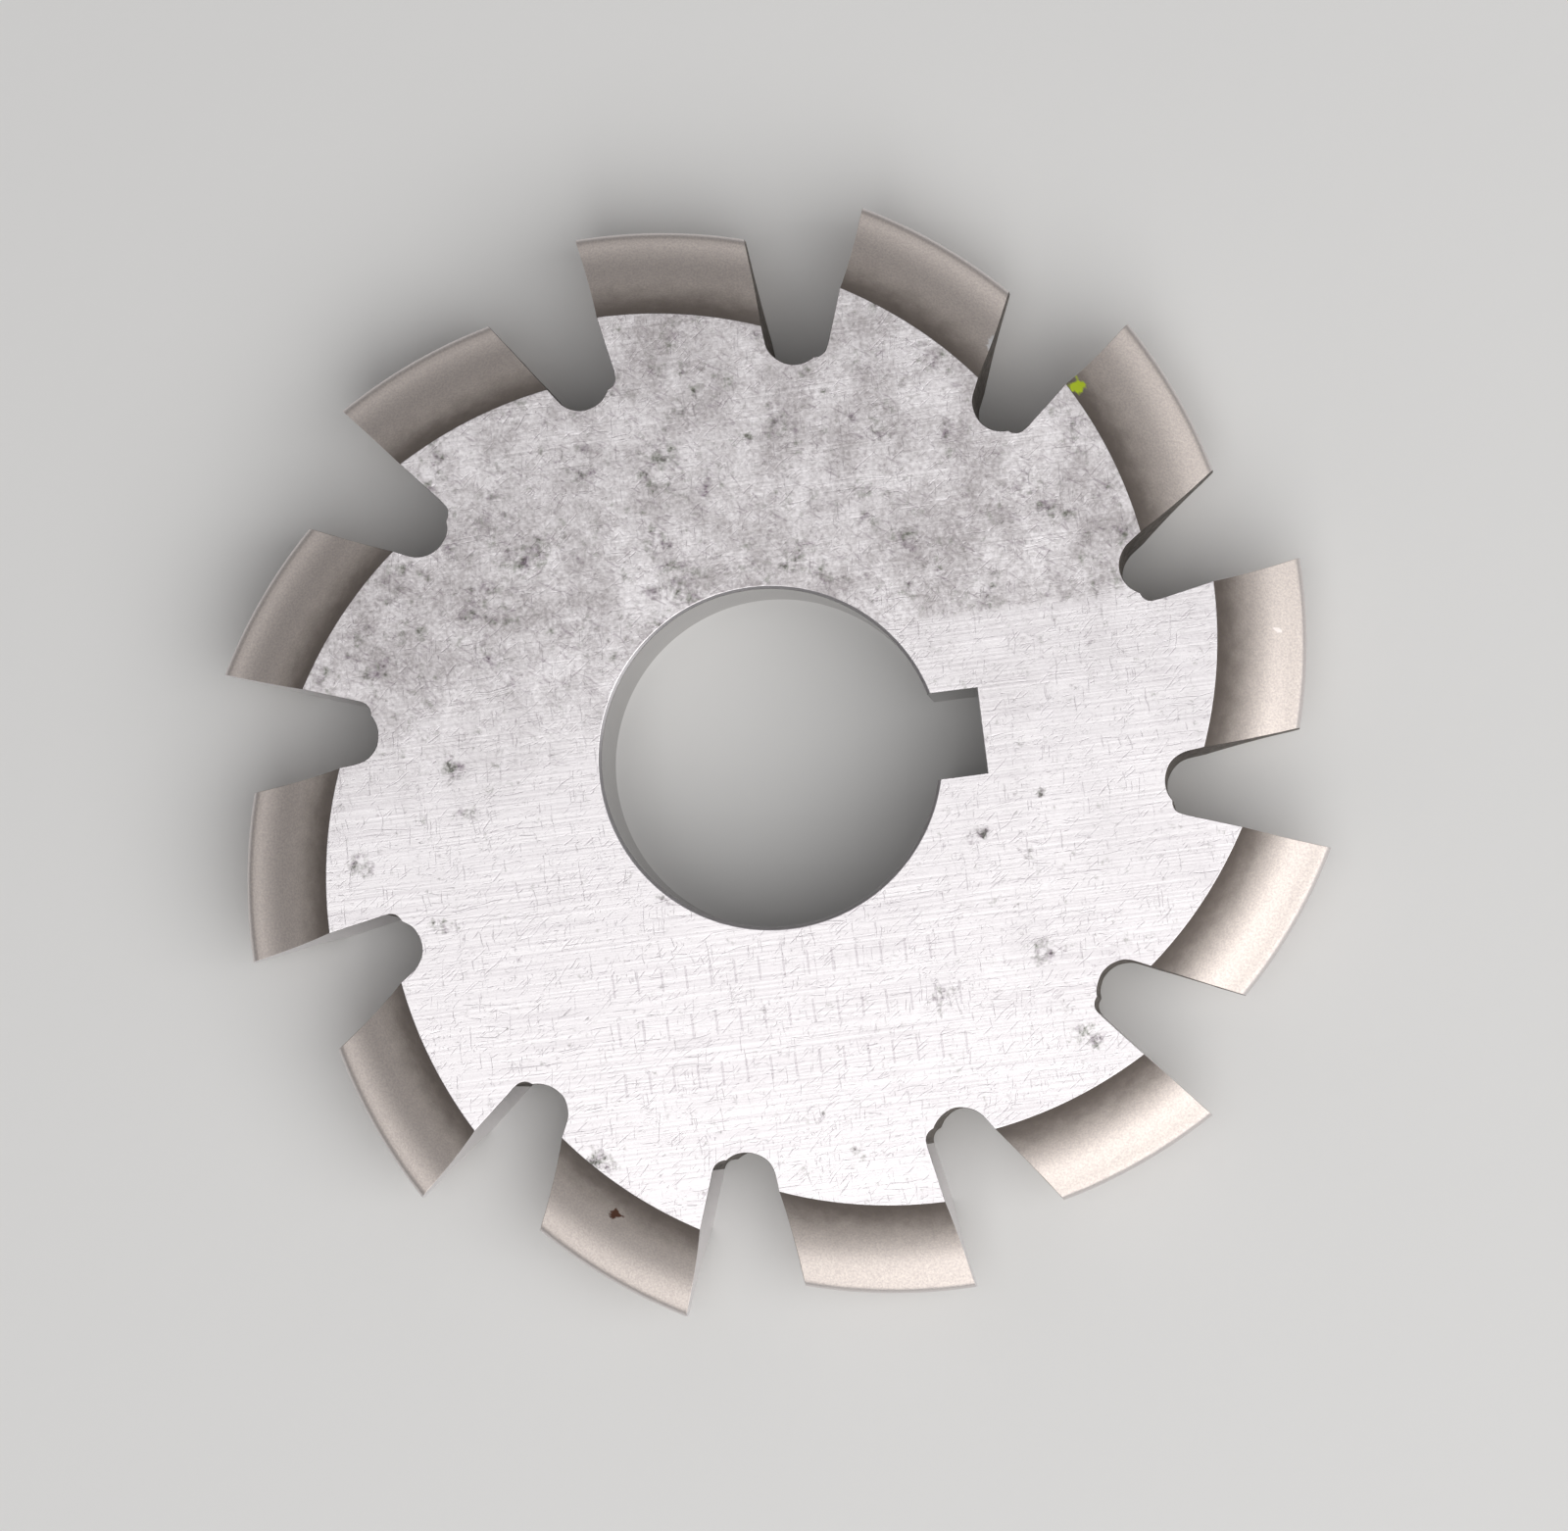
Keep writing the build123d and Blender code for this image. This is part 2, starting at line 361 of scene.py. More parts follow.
def gullet_outline(sizes):
    """Gullet in front of a cutting edge on +X, below the form, from cutting face to heel.

    Distances u run out along the cutting face from its edge and v forward from it. Each point is
    the cutting edge plus u along the rake direction plus v square to it. The outline is the
    cutting face, the corner that sharpening left, the round bottom, and the heel of the tooth
    ahead. Returns the points, then each of the two walls as its lean and offset.
    """
    rake, radius = sizes.rake, sizes.gullet_radius
    along_face = np.array([np.cos(rake), np.sin(rake)])
    forward = np.array([-np.sin(rake), np.cos(rake)])
    edge = np.array([sizes.tip_radius, 0])
    form_depth = flank_profile(sizes)[-1, 0]
    bottom = sizes.tip_radius - form_depth - sizes.relief - sizes.gullet_below_form
    out = sizes.regrind_depth + radius
    off_axis = out - sizes.tip_radius * np.sin(rake)
    along = np.sqrt((bottom + radius) ** 2 - off_axis ** 2) - sizes.tip_radius * np.cos(rake)

    # The corner and the round bottom lie on circles, and meet at the deeper of their crossings
    corner = sizes.regrind_corner
    floor = along - radius + sizes.regrind_step
    corner_centre = np.array([floor + corner, corner])
    valley_centre = np.array([along, out])
    gap = valley_centre - corner_centre
    distance = np.hypot(*gap)
    reach = (distance ** 2 + corner ** 2 - radius ** 2) / (2 * distance)
    side = np.sqrt(corner ** 2 - reach ** 2)
    square = np.array([-gap[1], gap[0]])
    meeting = corner_centre + (gap * reach + square * side) / distance
    other = corner_centre + (gap * reach - square * side) / distance
    meeting = min(meeting, other, key=lambda point: point[0])

    def arc(centre, size, start, end, steps):
        turn = np.linspace(start, end, steps + 1)[:, None]
        return centre + size * np.hstack([np.cos(turn), np.sin(turn)])

    def direction(centre):
        return np.arctan2(*(meeting - centre)[::-1]) % (2 * np.pi)

    heel = sizes.gullet_angle
    worn = arc(corner_centre, corner, 1.5 * np.pi, direction(corner_centre), FLOOR_STEPS)
    valley = arc(valley_centre, radius, direction(valley_centre), np.pi / 2 + heel, VALLEY_STEPS)
    local = np.vstack([worn, valley[1:]])
    points = edge + local[:, :1] * along_face + local[:, 1:] * forward

    def wall(point, lean):
        return lean, point @ np.array([-np.sin(lean), np.cos(lean)])

    return points, wall(edge, rake), wall(points[-1], rake + heel)


def turned(points, angle):
    """Points turned anticlockwise about Z."""
    c, s = np.cos(angle), np.sin(angle)
    x, y, z = np.moveaxis(points, -1, 0)
    return np.stack([x * c - y * s, x * s + y * c, z], -1)


def polar(radius, angle, height):
    """Points at a radius and an angle round Z, at a height."""
    radius, angle, height = np.broadcast_arrays(radius, angle, height)
    return np.stack([radius * np.cos(angle), radius * np.sin(angle), height], -1)


class Patchwork:
    """Grids of points that become one mesh, each with its material and its own map."""

    def __init__(self):
        self.points, self.quads, self.materials = [], [], []
        self.maps, self.depths = [], []
        self.count = 0

    def add(self, grid, material, chart, depth=1.0):
        """Adds a grid of points, whose rows, then columns, turn anticlockwise seen from outside.

        chart holds two lengths at each point, measured over the surface. depth is how far each
        point lies down the flank, from 0 at the tip land to 1 at the side face.
        """
        rows, columns = grid.shape[:2]
        number = np.arange(rows * columns).reshape(rows, columns)
        quads = np.stack([number[:-1, :-1], number[1:, :-1], number[1:, 1:], number[:-1, 1:]], -1)
        quads = quads.reshape(-1, 4)
        self.points.append(grid.reshape(-1, 3))
        self.quads.append(quads + self.count)
        self.materials.append(np.broadcast_to(material, (rows - 1, columns - 1)).reshape(-1))
        self.maps.append(np.broadcast_to(chart, (rows, columns, 2)).reshape(-1, 2)[quads])
        self.depths.append(np.broadcast_to(depth, (rows, columns)).reshape(-1))
        self.count += rows * columns

    def mesh(self, name):
        """One closed mesh, with the edges that the grids share welded."""
        mesh = bpy.data.meshes.new(name)
        quads = np.vstack(self.quads)
        mesh.from_pydata(np.vstack(self.points), [], quads)
        mesh.polygons.foreach_set("material_index", np.concatenate(self.materials))
        mesh.polygons.foreach_set("use_smooth", np.ones(len(quads), bool))
        chart = mesh.uv_layers.new(name="surface")
        chart.uv.foreach_set("vector", np.vstack(self.maps).reshape(-1))
        depth = mesh.attributes.new("flank_depth", "FLOAT", "POINT")
        depth.data.foreach_set("value", np.concatenate(self.depths))
        welded = bmesh.new()
        welded.from_mesh(mesh)
        bmesh.ops.remove_doubles(welded, verts=welded.verts, dist=WELD)
        welded.to_mesh(mesh)
        welded.free()
        return mesh


def run_length(points):
    """Length along a line of points, from its first point."""
    steps = np.linalg.norm(np.diff(points, axis=0), axis=-1)
    return np.concatenate([[0], np.cumsum(steps)])


def waves(points, seed, longest, shortest, count=48):
    """Smooth random heights at points: sine waves in random directions, added, mostly within 1."""
    rng = np.random.default_rng(seed)
    direction = rng.normal(size=(count, 3))
    direction /= np.linalg.norm(direction, axis=1)[:, None]
    length = longest * (shortest / longest) ** rng.random(count)
    phase = rng.random(count) * 2 * np.pi
    angle = 2 * np.pi * points @ (direction / length[:, None]).T + phase
    return np.sin(angle) @ length / np.sqrt(2 * (length ** 2).sum())


def hole_outline(sizes, radius, angle):
    """Distance of the hole's outline from the axis, at polar angles.

    The outline is a circle, opened by the slot along +X. At an angle the slot's side is half its
    width over the sine from the axis, and its floor is the floor distance over the cosine.
    """
    side = sizes.keyway_width / 2 / np.maximum(np.abs(np.sin(angle)), TINY)
    floor = sizes.keyway_floor / np.maximum(np.cos(angle), TINY)
    slot = np.where(np.cos(angle) > 0, np.minimum(side, floor), 0)
    return np.maximum(radius, slot)


def snapped(angle, corners):
    """Angles, with the one nearest to each corner moved onto it."""
    angle = angle.copy()
    for corner in corners:
        gap = (angle - corner + np.pi) % (2 * np.pi) - np.pi
        angle[np.argmin(np.abs(gap))] = corner
    return angle


def hole_line(sizes, radius, angle, height):
    """The hole's outline at a height, closed, with points on the four corners of the slot."""
    half_slot = sizes.keyway_width / 2
    corners = [np.arctan2(half_slot, sizes.keyway_floor), np.arcsin(half_slot / radius)]
    angle = snapped(angle, corners + [-corner for corner in corners])
    angle = np.append(angle, angle[0])
    return polar(hole_outline(sizes, radius, angle), angle, height)


def form_grid(sizes, depth, half, front, back):
    """The relieved form of the tooth on +X, from the cutting face back to the heel.

    The form is carried back from the cutting face: at each angle it keeps its profile, and its
    radius falls in proportion to the angle. Across, the grid goes up the lower flank, over the
    land and down the upper flank. Returns the grid, its map and the depth below the tip.
    """
    levels = np.linspace(-1, 1, LAND_STEPS + 1)[1:-1]
    land = np.zeros_like(levels)
    across = np.concatenate([-half[::-1], half[0] * levels, half])
    down = np.concatenate([depth[::-1], land, depth])
    start = np.concatenate([front[::-1], land + front[0], front])
    end = np.concatenate([back[::-1], land + back[0], back])
    share = np.linspace(0, 1, RELIEF_STEPS + 1)
    angle = start[:, None] + (end - start)[:, None] * share
    form = polar(sizes.tip_radius - down[:, None] + fall(sizes, angle), angle, across[:, None])
    over = run_length(np.column_stack([across, down]))
    chart = np.stack(np.broadcast_arrays(-angle * sizes.tip_radius, over[:, None]), -1)
    return form, chart, down


def gullet_line(sizes, depth, outline, front, back):
    """Down the cutting face, round the bottom of the gullet, and up the heel ahead, seen flat."""
    pitch = 2 * np.pi / sizes.teeth
    face_end = polar(sizes.tip_radius - depth + fall(sizes, front), front, 0)[:, :2]
    heel_end = polar(sizes.tip_radius - depth + fall(sizes, back), back + pitch, 0)[:, :2]
    to_corner = np.linspace(0, 1, FACE_STEPS + 1)[1:-1, None]
    to_heel = np.linspace(0, 1, HEEL_STEPS + 1)[1:-1, None]
    return np.vstack([
        face_end,
        face_end[-1] + to_corner * (outline[0] - face_end[-1]),
        outline,
        outline[-1] + to_heel * (heel_end[-1] - outline[-1]),
        heel_end[::-1],
    ])


def roughness(line, rows, first, last):
    """How rough each point of the gullet's wall is: 1 in the gullet, 0 at ground surfaces."""
    column, level = np.indices((len(line), rows))
    in_valley = np.minimum(column - first, last - HEEL_STEPS - column)
    in_wall = np.minimum(column - first, len(line) - 1 - column)
    from_side = np.minimum(level, rows - 1 - level)
    rough = np.maximum(in_valley, np.minimum(in_wall, from_side))
    return np.clip(rough / FADE_STEPS, 0, 1)


def cutter_mesh(sizes):
    """The cutter's whole skin, as one closed mesh of curved and flat grids.

    The gullet's wall is a line carried along the axis, between the flanks above the side edges
    and between the side faces below them. Tool marks stand square to it.
    """
    pitch = 2 * np.pi / sizes.teeth
    depth, half = flank_profile(sizes).T
    outline, face_wall, heel_wall = gullet_outline(sizes)
    front = form_meets_plane(sizes, depth, *face_wall, 0)
    back = form_meets_plane(sizes, depth, *heel_wall, -1)
    form, form_map, down = form_grid(sizes, depth, half, front, back)

    line = gullet_line(sizes, depth, outline, front, back)
    first = len(half) + FACE_STEPS - 1
    last = len(line) - len(half)
    below = np.ones(len(line) - 2 * len(half))
    reach = np.concatenate([half, below * sizes.width / 2, half[::-1]])
    sunk = np.concatenate([depth, below * depth[-1], depth[::-1]]) / depth[-1]
    levels = np.linspace(-1, 1, LAND_STEPS + 1)
    wall = np.empty((len(line), len(levels), 3))
    wall[:, :, :2] = line[:, None]
    wall[:, :, 2] = reach[:, None] * levels
    wall_map = np.stack(np.broadcast_arrays(run_length(line)[:, None], wall[:, :, 2]), -1)
    wall_material = np.where(np.arange(len(line) - 1) >= first, GULLET, CUTTING_FACE)[:, None]
    along = np.gradient(line, axis=0)
    inward = np.column_stack([along[:, 1], -along[:, 0]])
    inward /= np.linalg.norm(inward, axis=1)[:, None]
    rough = roughness(line, len(levels), first, last)

    skin = Patchwork()
    upper, lower = [], []
    for tooth in range(sizes.teeth):
        place = sizes.first_tooth + tooth * pitch
        marks = GULLET_MARKS * rough * waves(wall, GULLET_SEED + tooth, *GULLET_MARK_LENGTHS)
        marked_wall = wall.copy()
        marked_wall[:, :, :2] += marks[:, :, None] * inward[:, None]
        marked_wall = turned(marked_wall, place)
        tooth_form = turned(form, place)
        skin.add(tooth_form, FLANK, form_map, down[:, None] / depth[-1])
        skin.add(marked_wall, wall_material, wall_map, sunk[:, None])
        bottom = slice(len(half) - 1, last)
        upper += [tooth_form[-1, :0:-1], marked_wall[bottom, -1]]
        lower += [tooth_form[0, :0:-1], marked_wall[bottom, 0]]
    add_sides(skin, sizes, np.vstack(upper), np.vstack(lower))
    return skin.mesh("cutter_body")


def add_sides(skin, sizes, upper, lower):
    """Flat sides between the hole and the teeth, then the wall of the bore and the keyway.

    A side is a grid of straight lines from the hole's outline out to the teeth. The hole's wall
    is a grid of lines along the axis, with an edge break at both mouths of the bore.
    """
    angle = np.arctan2(upper[:, 1], upper[:, 0])
    top = sizes.width / 2
    mouth = sizes.bore_radius + sizes.bore_edge
    out = np.linspace(0, 1, SIDE_RINGS + 1)[:, None, None]
    for teeth, height, material in ((upper, top, SIDE), (lower, -top, UNDERSIDE)):
        inner = hole_line(sizes, mouth, angle, height)
        side = inner + out * (np.vstack([teeth, teeth[:1]]) - inner)
        side = side if height > 0 else side[::-1]
        skin.add(side, material, side[:, :, :2])
    shoulder = top - sizes.bore_edge
    rings = [hole_line(sizes, mouth, angle, -top)]
    for height in np.linspace(-shoulder, shoulder, BORE_STEPS + 1):
        rings.append(hole_line(sizes, sizes.bore_radius, angle, height))
    rings.append(hole_line(sizes, mouth, angle, top))
    wall = np.array(rings)
    around = np.broadcast_to(run_length(wall[1]), wall.shape[:2])
    strip = np.arange(len(rings) - 1)
    material = np.where((strip == 0) | (strip == strip[-1]), CUTTING_FACE, BORE)[:, None]
    skin.add(wall, material, np.stack([around, wall[:, :, 2]], -1))


# Materials

# Sockets of a Mix node that mixes colours
SHARE, FIRST, SECOND, MIXED = 0, 6, 7, 2


def add(tree, kind, inputs=(), **settings):
    """Adds a shader node with its settings.

    An input takes a constant, another node's output, or a node, for its first output.
    """
    node = tree.nodes.new("ShaderNode" + kind)
    for name, value in settings.items():
        setattr(node, name, value)
    for name, value in dict(inputs).items():
        if isinstance(value, bpy.types.Node):
            value = value.outputs[0]
        if isinstance(value, bpy.types.NodeSocket):
            tree.links.new(value, node.inputs[name])
        else:
            node.inputs[name].default_value = value
    return node


def new_material(name):
    """An empty node material, and its tree."""
    material = bpy.data.materials.new(name)
    material.use_nodes = True
    material.node_tree.nodes.clear()
    return material, material.node_tree


def steel(tree, colour, roughness, height, depth, **constants):
    """Closes a steel material: metal in this colour and roughness, with relief this deep."""
    bump = add(tree, "Bump", {"Height": height, "Distance": depth})
    inputs = {"Base Color": colour, "Roughness": roughness, "Metallic": 1.0,
              "Normal": bump.outputs["Normal"]}
    inputs.update({name.replace("_", " "): value for name, value in constants.items()})
    shader = add(tree, "BsdfPrincipled", inputs)
    add(tree, "OutputMaterial", {"Surface": shader.outputs["BSDF"]})


def scratches(tree, place, marks):
    """Sparse fine lines: a number from 0 to 1.

    Each mark is the lines' angle from X, their length, their width and how much they cover. It
    is a noise drawn out along that angle, of which only the highest ridges are kept.
    """
    total = 0.0
    for angle, length, width, cover in marks:
        drawn = add(tree, "Mapping", {
            "Vector": place, "Rotation": (0, 0, -angle)}, vector_type="POINT")
        thin = add(tree, "Mapping", {"Vector": drawn, "Scale": (width / length, 1, 1)})
        ridges = add(tree, "TexNoise", {"Vector": thin, "Scale": 1 / width, "Detail": 1.0})
        kept = add(tree, "MapRange", {
            "Value": ridges.outputs["Fac"], "From Min": 0.72 - cover, "From Max": 0.80 - cover})
        total = add(tree, "Math", {0: total, 1: kept}, operation="MAXIMUM")
    return total


def shaken(tree, place, grain, reach):
    """Places moved about by a noise of this grain, to either side by at most half the reach."""
    noise = add(tree, "TexNoise", {"Vector": place, "Scale": 1 / grain, "Detail": 3.0})
    centred = add(tree, "VectorMath", {
        0: noise.outputs["Color"], 1: (0.5, 0.5, 0.5)}, operation="SUBTRACT")
    return add(tree, "VectorMath", {
        0: centred, 1: (reach,) * 3, 2: place}, operation="MULTIPLY_ADD")


def nearness(tree, place, spots, height):
    """1 at the middle of the nearest spot, falling evenly to 0 at its radius."""
    total = 0.0
    for x, y, radius in spots:
        away = add(tree, "VectorMath", {
            0: place, 1: (x * MM, y * MM, height)}, operation="DISTANCE")
        near = add(tree, "MapRange", {
            "Value": away.outputs["Value"], "From Max": radius * MM,
            "To Min": 1.0, "To Max": 0.0})
        total = add(tree, "Math", {0: total, 1: near}, operation="MAXIMUM")
    return total


def tally(tree, apart):
    """Plain rows of equal short strokes, in place of the maker's data: 1 in a stroke.

    A stroke is where the fraction of x over the pitch is near one half, inside a row's height.
    """
    turns = add(tree, "Math", {0: apart["X"], 1: TALLY_PITCH}, operation="DIVIDE")
    part = add(tree, "Math", {0: turns}, operation="FRACT")
    stroke = add(tree, "Math", {0: part, 1: 0.5, 2: TALLY_LINE / TALLY_PITCH}, operation="COMPARE")
    middle = sum(TALLY_SPAN) / 2
    across = add(tree, "Math", {
        0: apart["X"], 1: middle, 2: TALLY_SPAN[1] - middle}, operation="COMPARE")
    rows = 0.0
    for height in TALLY_ROWS:
        row = add(tree, "Math", {
            0: apart["Y"], 1: height, 2: TALLY_HEIGHT / 2}, operation="COMPARE")
        rows = add(tree, "Math", {0: rows, 1: row}, operation="MAXIMUM")
    inside = add(tree, "Math", {0: rows, 1: across}, operation="MULTIPLY")
    return add(tree, "Math", {0: inside, 1: stroke}, operation="MULTIPLY")


def older_surface(tree, place, apart, marked):
    """How much of the older surface the last grinding left: a number from 0 to 1.

    It fades in over some way on one half of the side, and has one clear border on the other.
    """
    regions = add(tree, "TexNoise", {"Vector": place, "Scale": 1 / (6 * MM), "Detail": 2.0})
    wander = add(tree, "Math", {
        0: regions.outputs["Fac"], 1: 3.0 * MM, 2: apart["Y"]}, operation="MULTIPLY_ADD")
    fading = add(tree, "MapRange", {
        "Value": wander, "From Min": OLDER_FADE[0], "From Max": OLDER_FADE[1],
        "To Min": 0.05, "To Max": 0.95}, interpolation_type="SMOOTHSTEP")
    border = add(tree, "MapRange", {
        "Value": apart["Y"], "From Min": OLDER_BORDER[0], "From Max": OLDER_BORDER[1],
        "To Min": 0.16, "To Max": 0.95})
    half = add(tree, "MapRange", {
        "Value": apart["X"], "From Min": OLDER_CHANGE[0], "From Max": OLDER_CHANGE[1],
        "To Max": 0.75})
    older = add(tree, "Mix", {"Factor": half, "A": fading, "B": border})
    return add(tree, "Math", {0: older, 1: 1.0 if marked else 0.6}, operation="MULTIPLY")


def patina(tree, place, older, clouds, colours):
    """Grey film on the older surface: how thick it is, and the colour of the steel under it.

    A mottle of 0.2 mm grain varies it, and clouds make it uneven.
    """
    mottle = add(tree, "TexNoise", {
        "Vector": place, "Scale": 1 / (0.2 * MM), "Detail": 4.0, "Roughness": 0.72})
    uneven = add(tree, "MapRange", {
        "Value": clouds.outputs["Fac"], "From Min": 0.35, "From Max": 0.65,
        "To Min": 0.20, "To Max": 0.88})
    mottled = add(tree, "MapRange", {
        "Value": mottle.outputs["Fac"], "From Min": 0.34, "From Max": 0.66,
        "To Min": -0.34, "To Max": 0.34})
    film = add(tree, "Math", {0: uneven, 1: mottled}, operation="ADD")
    dulled = add(tree, "Math", {0: older, 1: film}, operation="MULTIPLY", use_clamp=True)
    grey = add(tree, "Mix", {
        SHARE: dulled, FIRST: colours.ground, SECOND: colours.patina}, data_type="RGBA")
    return dulled, grey.outputs[MIXED]


def flecked(tree, place, older, clouds, under, colours, marked):
    """Flecks of 0.1 to 0.5 mm over a colour: the colour with them, and where the pits are.

    They are thick in the stains and where the clouds gather on the older surface, and few
    elsewhere. The thickest are pits.
    """
    flecks = add(tree, "TexNoise", {
        "Vector": place, "Scale": 1 / (0.55 * MM), "Detail": 6.0, "Roughness": 0.74})
    gathered = add(tree, "MapRange", {
        "Value": clouds.outputs["Color"], "From Min": 0.46, "From Max": 0.66, "To Max": 0.9})
    thick = add(tree, "Math", {0: gathered, 1: older}, operation="MULTIPLY")
    if marked:
        ragged = shaken(tree, place, 1.0 * MM, 2.0 * MM)
        stained = nearness(tree, ragged, STAINS, CAD_HIGH.z)
        thick = add(tree, "Math", {0: thick, 1: stained}, operation="MAXIMUM")
    level = add(tree, "Math", {
        0: thick, 1: 0.24, 2: flecks.outputs["Fac"]}, operation="MULTIPLY_ADD")
    smoky = add(tree, "MapRange", {
        "Value": level, "From Min": 0.59, "From Max": 0.78, "To Max": 0.88})
    hue = add(tree, "MapRange", {
        "Value": flecks.outputs["Color"], "From Min": 0.45, "From Max": 0.55})
    tinted = add(tree, "Mix", {
        SHARE: hue, FIRST: colours.smudge, SECOND: colours.tarnish}, data_type="RGBA")
    smoked = add(tree, "Mix", {
        SHARE: smoky, FIRST: under, SECOND: tinted.outputs[MIXED]}, data_type="RGBA")
    pit = add(tree, "MapRange", {"Value": level, "From Min": 0.74, "From Max": 0.88, "To Max": 0.7})
    pitted = add(tree, "Mix", {
        SHARE: pit, FIRST: smoked.outputs[MIXED], SECOND: colours.stain}, data_type="RGBA")
    return pitted.outputs[MIXED], pit


def ground_steel(name, colours, marked):
    """Hardened high-speed steel, surface ground: pale, with fine straight lines along X.

    The lines spread reflections across them, so the side looks soft and nearly white under a
    wide light. The last grinding left one part of the older surface, which is greyer and full
    of flecks. Handling has left fine scratches, and damp some stains.
    """
    material, tree = new_material(name)
    place = add(tree, "TexCoord").outputs["Object"]
    apart = add(tree, "SeparateXYZ", {"Vector": place}).outputs
    older = older_surface(tree, place, apart, marked)
    clouds = add(tree, "TexNoise", {
        "Vector": place, "Scale": 1 / (2.4 * MM), "Detail": 4.0, "Roughness": 0.65})
    dulled, grey = patina(tree, place, older, clouds, colours)
    colour, pit = flecked(tree, place, older, clouds, grey, colours, marked)

    # Grinding lines, some 8 mm long, and scratches from handling
    stretched = add(tree, "Mapping", {"Vector": place, "Scale": (0.015, 1, 1)})
    lines = add(tree, "TexNoise", {"Vector": stretched, "Scale": 1 / GRINDING_LINES, "Detail": 2.0})
    handled = scratches(tree, shaken(tree, place, 5 * MM, 1.5 * MM), (
        (np.radians(2), 9 * MM, 0.07 * MM, 0.055),
        (np.radians(89), 2.0 * MM, 0.08 * MM, 0.055),
        (np.radians(38), 1.4 * MM, 0.08 * MM, 0.075)))
    # Short dark dashes, which only the older surface has
    dashes = scratches(tree, place, (
        (np.radians(-33), 0.8 * MM, 0.14 * MM, 0.07),
        (np.radians(-52), 0.5 * MM, 0.10 * MM, 0.06)))
    dashed = add(tree, "Math", {0: dashes, 1: older}, operation="MULTIPLY")

    # Lines, scratches and dashes show a little darker
    ruled = add(tree, "MapRange", {
        "Value": lines.outputs["Fac"], "From Min": 0.38, "From Max": 0.70, "To Max": 0.20})
    fresh = add(tree, "MapRange", {"Value": older, "To Min": 1.0, "To Max": 0.3})
    ruled = add(tree, "Math", {0: ruled, 1: fresh}, operation="MULTIPLY")
    scored = add(tree, "Math", {0: handled, 1: 0.20, 2: ruled}, operation="MULTIPLY_ADD")
    scored = add(tree, "Math", {0: dashed, 1: 0.36, 2: scored}, operation="MULTIPLY_ADD")
    relief = add(tree, "Math", {0: pit, 1: -3.0, 2: lines.outputs["Fac"]}, operation="MULTIPLY_ADD")
    if marked:
        strokes = tally(tree, apart)
        scored = add(tree, "Math", {0: strokes, 1: 0.20, 2: scored}, operation="MULTIPLY_ADD")
        relief = add(tree, "Math", {0: strokes, 1: -4.0, 2: relief}, operation="MULTIPLY_ADD")
    colour = add(tree, "Mix", {
        SHARE: scored, FIRST: colour, SECOND: colours.smudge}, data_type="RGBA")

    rough = add(tree, "MapRange", {"Value": dulled, "To Min": 0.34, "To Max": 0.44})
    rougher = add(tree, "Math", {0: pit, 1: 0.2, 2: rough}, operation="MULTIPLY_ADD")
    relief = add(tree, "Math", {0: handled, 1: -0.8, 2: relief}, operation="MULTIPLY_ADD")
    along = add(tree, "Tangent", direction_type="UV_MAP", uv_map="surface")
    steel(tree, colour.outputs[MIXED], rougher, relief, 0.005 * MM,
          Tangent=along, Anisotropic=0.4, Anisotropic_Rotation=0.25)
    return material


def add_specks(tree, place, colour):
    """Specks on the flanks of the marked side, over a colour.

    Where they lie is measured flat, as if seen along the axis.
    """
    ragged = shaken(tree, place, 0.5 * MM, 1.0 * MM)
    flat = add(tree, "VectorMath", {0: ragged, 1: (1, 1, 0)}, operation="MULTIPLY")
    height = add(tree, "SeparateXYZ", {"Vector": place}).outputs["Z"]
    marked = add(tree, "Math", {0: height, 1: FORM_MIDDLE}, operation="GREATER_THAN")
    for spot, code in SPECKS:
        speck = add(tree, "MapRange", {
            "Value": nearness(tree, flat, (spot,), 0.0), "From Min": 0.1, "From Max": 0.4})
        shown = add(tree, "Math", {0: speck, 1: marked}, operation="MULTIPLY")
        mixed = add(tree, "Mix", {
            SHARE: shown, FIRST: colour, SECOND: linear(code)}, data_type="RGBA")
        colour = mixed.outputs[MIXED]
    return colour


